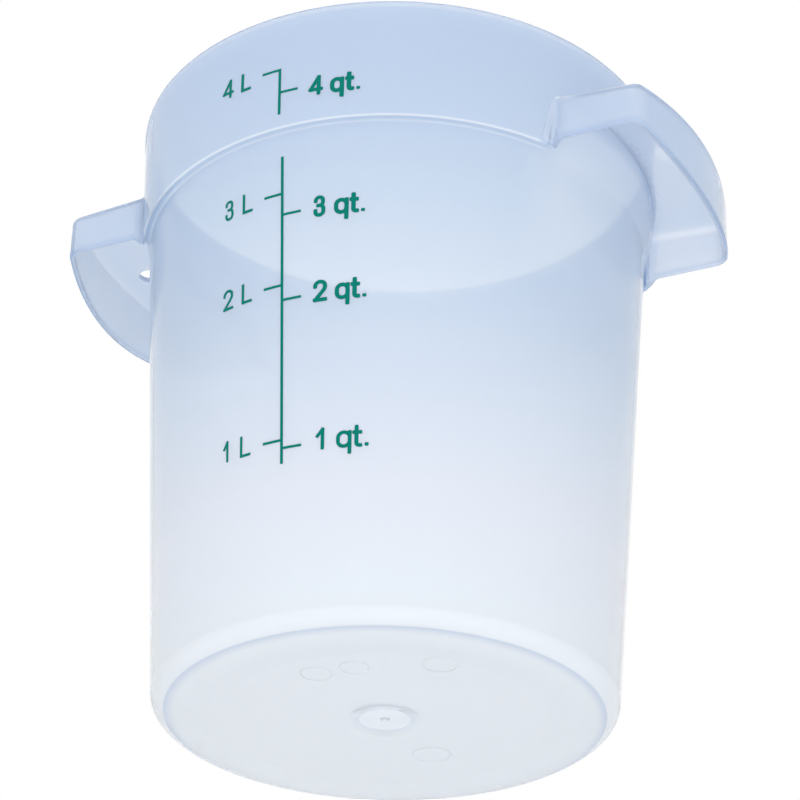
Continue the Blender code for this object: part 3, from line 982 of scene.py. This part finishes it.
@dataclass
class Moulding:
    """The whole moulding: the tub with both handles run into its collar, and the rings on its base."""

    tub: Tub
    finish: ClearPlastic
    sharp: float = 40.0

    def tone(self, mesh: bpy.types.Mesh, handles: list[Handle]) -> None:
        """Gives every point of the mesh its painted light and painted shade values, the strongest of its
        parts' own.

        Args:
            mesh: The whole moulding's mesh.
            handles: Both handles.
        """
        values = [part.tones(mesh_points(mesh)) for part in (self.tub, *handles)]
        for layer, found in zip(Layer, zip(*values)):
            data = mesh.attributes.new(layer.value, "FLOAT", "POINT").data
            data.foreach_set("value", np.max(found, axis=0))

    def build(self) -> bpy.types.Object:
        """Makes the moulding and hides the nodes of the frame that it stands for."""
        body = self.tub.build()
        handles = [Handle(self.tub, side) for side in Side]
        for handle in handles:
            boolean(body, handle.build(), "UNION")
        boolean(body, BaseRings(self.tub).build(), "UNION")
        self.tone(body.data, handles)
        body.data.shade_smooth()
        body.data.set_sharp_from_angle(angle=math.radians(self.sharp))
        body.data.materials.clear()
        body.data.materials.append(self.finish.build())
        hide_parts("tub_floor", "foot_corner", "tub_wall", "ledge", "collar", "rim_bead",
                    "handle_left", "handle_right")
        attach(body, "root")
        return body


# The print


@dataclass(frozen=True)
class Character:
    """One printed character: the middle lines of its strokes, in a box from 0 to 1 both ways.

    A stroke's end is two coordinates, and a corner has a radius too, a share of the box's width. The fits
    say how far the left, right, lower and upper edges lie from those of the solid, for either unit.
    """

    strokes: tuple[tuple[Values, ...], ...]
    weight: float = 1.0
    litre_fit: Values = (0.0003, 0.0, -0.0002, -0.0002)
    quart_fit: Values = (0.0004, 0.0001, -0.0003, -0.0002)


CHARACTERS = {
    "1": Character(
        (((0.0, 0.66), (1.0, 1.0)), ((1.0, 1.0), (1.0, 0.0))),
        weight=0.95,
        litre_fit=(-0.0006, 0.0005, 0.0, 0.0),
        quart_fit=(-0.0005, 0.0005, -0.0002, -0.0004),
    ),
    "2": Character(
        (
            ((0.02, 0.74), (0.02, 1.0, 0.46), (0.97, 1.0, 0.47), (0.97, 0.60, 0.70), (0.03, 0.0)),
            ((0.0, 0.0), (1.0, 0.0)),
        ),
        weight=0.98,
    ),
    "3": Character(
        (
            ((0.02, 0.80), (0.02, 1.0, 0.44), (0.94, 1.0, 0.46), (0.94, 0.54, 0.46), (0.34, 0.54)),
            ((0.36, 0.54), (1.0, 0.54, 0.50), (1.0, 0.0, 0.50), (0.0, 0.0, 0.46), (0.0, 0.25)),
        ),
        weight=0.95,
    ),
    "4": Character(
        (((0.76, 1.0), (0.0, 0.25)), ((0.0, 0.25), (1.0, 0.25)), ((0.77, 1.0), (0.77, 0.0))), weight=0.92
    ),
    "L": Character((((0.0, 1.0), (0.0, 0.0)), ((0.0, 0.0), (1.0, 0.0)))),
    "q": Character(
        (
            ((0.50, 0.31), (0.0, 0.31, 0.49), (0.0, 1.0, 0.49), (1.0, 1.0, 0.49), (1.0, 0.31, 0.49),
             (0.44, 0.31)),
            ((1.0, 1.0), (1.0, 0.0)),
        ),
        quart_fit=(0.0002, 0.0001, 0.0, 0.0004),
    ),
    "t": Character(
        (((0.36, 1.0), (0.36, 0.0, 0.45), (1.0, 0.0)), ((0.0, 0.71), (0.95, 0.71))),
        weight=1.04,
        quart_fit=(0.0, 0.0, -0.0001, 0.0007),
    ),
    "stop": Character((((0.0, 0.5), (1.0, 0.5)),), quart_fit=(0.0001, 0.0, 0.0001, -0.0003)),
}


@dataclass
class PrintedScale:
    """The printed scale. Its lines keep their solids, and each character is drawn in its solid's place.

    Every row of labels has its own weight of stroke on either side.
    """

    tub: Tub
    finish: PrintInk
    litre_strokes: Values = (0.00095, 0.00100, 0.00102, 0.00115)
    quart_strokes: Values = (0.00122, 0.00140, 0.00145, 0.00152)
    least_line: float = 0.0001
    depth: float = 0.0002
    layer: float = 0.00001
    lift: float = 0.00015
    tip_steps: int = 8
    section_steps: int = 12
    squareness: float = 0.55
    arc_step: float = 0.0002
    stretch: float = 0.0010

    def read(self, name: str) -> tuple[str, Unit, int]:
        """Which character a node stands for, its unit and its row, all from the node's name."""
        words = name.split("_")
        row = int(next(word for word in words if word.isdigit()))
        unit = Unit.LITRE if Unit.LITRE.value in words else Unit.QUART
        if words[0] == "numeral":
            return str(row), unit, row
        return ("L" if unit is Unit.LITRE else words[2]), unit, row

    def stroke(self, line: Array, width: float) -> Array:
        """A flat stroke with blunt, softly rounded tips, as a grid: a section carried along a line.

        The section is a rounded box: its width and depth follow the cosine and sine of an angle, each
        raised to a power below one. Past each end of the line, the distance and the width do the same.

        Args:
            line: The stroke's middle line, in two columns.
            width: The stroke's width.

        Returns:
            The grid, with x along the wall, y up and z out of it.
        """
        first, last = direction(line[1] - line[0]), direction(line[-1] - line[-2])
        turn = np.linspace(0.0, math.pi / 2, self.tip_steps, endpoint=False)
        past = (width / 2 * np.cos(turn) ** self.squareness)[:, None]
        narrow = np.sin(turn) ** self.squareness
        points = np.concatenate([line[0] - past * first, line, line[-1] + past[::-1] * last])
        share = np.concatenate([narrow, np.ones(len(line)), narrow[::-1]])[:, None]
        ahead = np.gradient(points, axis=0)
        ahead /= np.linalg.norm(ahead, axis=1, keepdims=True)
        angle = full_turn(self.section_steps)[None, :]
        wide, thick = (
            np.sign(wave) * np.abs(wave) ** self.squareness * size / 2 * share
            for wave, size in ((np.cos(angle), width), (np.sin(angle), self.depth))
        )
        return beside(points[:, :1] - ahead[:, 1:] * wide, points[:, 1:] + ahead[:, :1] * wide, thick)

    def draw(self, name: str) -> bpy.types.Object:
        """Draws one character in its solid's place, bent round the wall or the collar.

        A point goes to the angle that its distance along the wall has at the wall's radius there. Each
        stroke lies a layer above the one before it, so that no two faces are in one place.

        Args:
            name: The node that it stands for.

        Returns:
            The finished character.
        """
        kind, unit, row = self.read(name)
        character, litre = CHARACTERS[kind], unit is Unit.LITRE
        x, y, z = mesh_points(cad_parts[name].data).T
        level = (z.min() + z.max()) / 2
        radius_at = self.tub.collar_radius if level > self.tub.ledge_height else self.tub.wall_radius
        along = (np.arctan2(y, x) + math.pi / 2) * radius_at(level)
        fit = character.litre_fit if litre else character.quart_fit
        left, right = along.min() + fit[0], along.max() + fit[1]
        low, high = z.min() + fit[2], z.max() + fit[3]
        width = (self.litre_strokes if litre else self.quart_strokes)[row - 1] * character.weight
        width = min(width, right - left - self.least_line, high - low - self.least_line)
        across, up = right - left - width, high - low - width
        grids = []
        for number, corners in enumerate(character.strokes):
            placed = [(u * across, v * up, *(r * across for r in radius)) for u, v, *radius in corners]
            line = rounded_line(placed, self.arc_step, self.stretch, self.arc_step)
            flat = self.stroke(line + [left + width / 2, low + width / 2], width)
            angle = flat[..., 0] / radius_at(level) - math.pi / 2
            away = radius_at(flat[..., 1]) + self.lift + number * self.layer + flat[..., 2]
            grids.append(beside(away * np.cos(angle), away * np.sin(angle), flat[..., 1]))
        return closed_solid("drawn_" + name, grids)

    def build(self) -> list[str]:
        """Inks the printed lines, draws every character, and returns the names of the nodes."""
        ink = self.finish.build()
        names = [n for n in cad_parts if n.startswith(("scale_", "numeral_", "unit_"))]
        for name in names:
            if name.startswith("scale_"):
                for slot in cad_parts[name].material_slots:
                    slot.material = ink
                continue
            drawn = self.draw(name)
            drawn.data.shade_smooth()
            drawn.data.materials.append(ink)
            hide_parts(name)
            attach(drawn, "root")
        return names


# The studio


@dataclass(frozen=True)
class Lamp:
    """One soft rectangular lamp: where it stands, how wide it is and how strong."""

    name: str
    place: Triple
    width: float
    watts: float


@dataclass
class Studio:
    """The floor, the world, the lamps and the camera.

    The camera stands where the photograph was taken from. Its azimuth and elevation are those of the way
    from what it looks at to its eye, and they and its roll are in degrees.
    """

    floor_reach: float = 3.0
    floor_height: float = -0.0006
    ambient: float = 0.82
    lamps: tuple[Lamp, ...] = (
        Lamp("key", (-0.9, -1.1, 1.3), 1.0, 4.0),
        Lamp("fill", (1.1, -0.7, 0.9), 1.2, 2.0),
        Lamp("back", (0.2, 1.2, 1.1), 1.0, 2.0),
        Lamp("low", (0.1, -0.3, -1.3), 1.2, 5.0),
        Lamp("front", (0.55, -1.15, -0.55), 0.8, 4.5),
    )
    lens: float = 119.125225
    sensor: float = 36.0
    nearest: float = 0.01
    eye: Triple = (0.33209878, -0.71568944, -0.33298045)
    azimuth: float = -65.2718393
    elevation: float = -29.859672
    roll: float = 1.4397277

    def add_floor(self) -> None:
        """Lays the floor: a flat grid just under the foot, with its face up."""
        line = np.linspace(-self.floor_reach, self.floor_reach, 3)
        points = beside(*np.meshgrid(line, line), self.floor_height)
        mesh = bpy.data.meshes.new("floor")
        faces = grid_faces(points, Loop.OPEN, Loop.OPEN)
        mesh.from_pydata(points.reshape(-1, 3).tolist(), [], faces.tolist())
        floor = new_object("floor", mesh)
        mesh.materials.append(PaleFloor().build())
        floor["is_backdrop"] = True

    def add_world(self) -> None:
        """Lights everything evenly, and shows white behind the object and in its clear walls."""
        world = bpy.data.worlds.new("studio")
        bpy.context.scene.world = world
        nodes = Nodes(world)
        soft, white = (
            nodes.add("Background", {"Color": (1.0, 1.0, 1.0, 1.0), "Strength": strength})
            for strength in (self.ambient, 1.0)
        )
        shades = soft.outputs["Background"], white.outputs["Background"]
        seen = nodes.add("LightPath").outputs["Is Camera Ray"]
        sky = nodes.mixed(*shades, seen, "Is Glossy Ray", "Is Transmission Ray")
        nodes.add("OutputWorld", {"Surface": sky})

    def add_lamps(self) -> None:
        """Stands the lamps, each turned to the middle of the object."""
        target = np.array([0.0, 0.0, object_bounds()[1][2] / 2])
        for lamp in self.lamps:
            light = bpy.data.lights.new(lamp.name, "AREA")
            light.size = lamp.width
            light.energy = lamp.watts
            stand = bpy.data.objects.new(lamp.name, light)
            stand.visible_glossy = False
            stand.visible_transmission = False
            bpy.context.scene.collection.objects.link(stand)
            turn = axes(direction(np.array(lamp.place) - target))
            stand.matrix_world = Matrix.Translation(lamp.place) @ turn

    def add_camera(self) -> None:
        """Sets the camera where the photograph was taken from, below the foot and looking up."""
        data = bpy.data.cameras.new("camera")
        data.lens = self.lens
        data.sensor_width = self.sensor
        data.clip_start = self.nearest
        camera = bpy.data.objects.new("camera", data)
        bpy.context.scene.collection.objects.link(camera)
        azimuth, elevation, roll = np.radians([self.azimuth, self.elevation, self.roll])
        level = math.cos(elevation)
        behind = np.array([level * math.cos(azimuth), level * math.sin(azimuth), math.sin(elevation)])
        camera.matrix_world = Matrix.Translation(self.eye) @ axes(behind, roll)
        bpy.context.scene.camera = camera

    def build(self) -> None:
        """Sets up the whole studio."""
        bpy.context.scene.view_settings.view_transform = "Standard"
        self.add_camera()
        self.add_floor()
        self.add_world()
        self.add_lamps()


def main() -> None:
    """Builds the moulding, inks the print and sets the studio."""
    logging.basicConfig(level=logging.INFO, format="%(name)s: %(message)s")
    Studio().build()
    LOG.info("studio is set")
    tub = Tub()
    body = Moulding(tub, ClearPlastic()).build()
    LOG.info("%s has %d faces", body.name, len(body.data.polygons))
    names = PrintedScale(tub, PrintInk()).build()
    LOG.info("printed %d nodes", len(names))


if __name__ == "__main__":
    main()
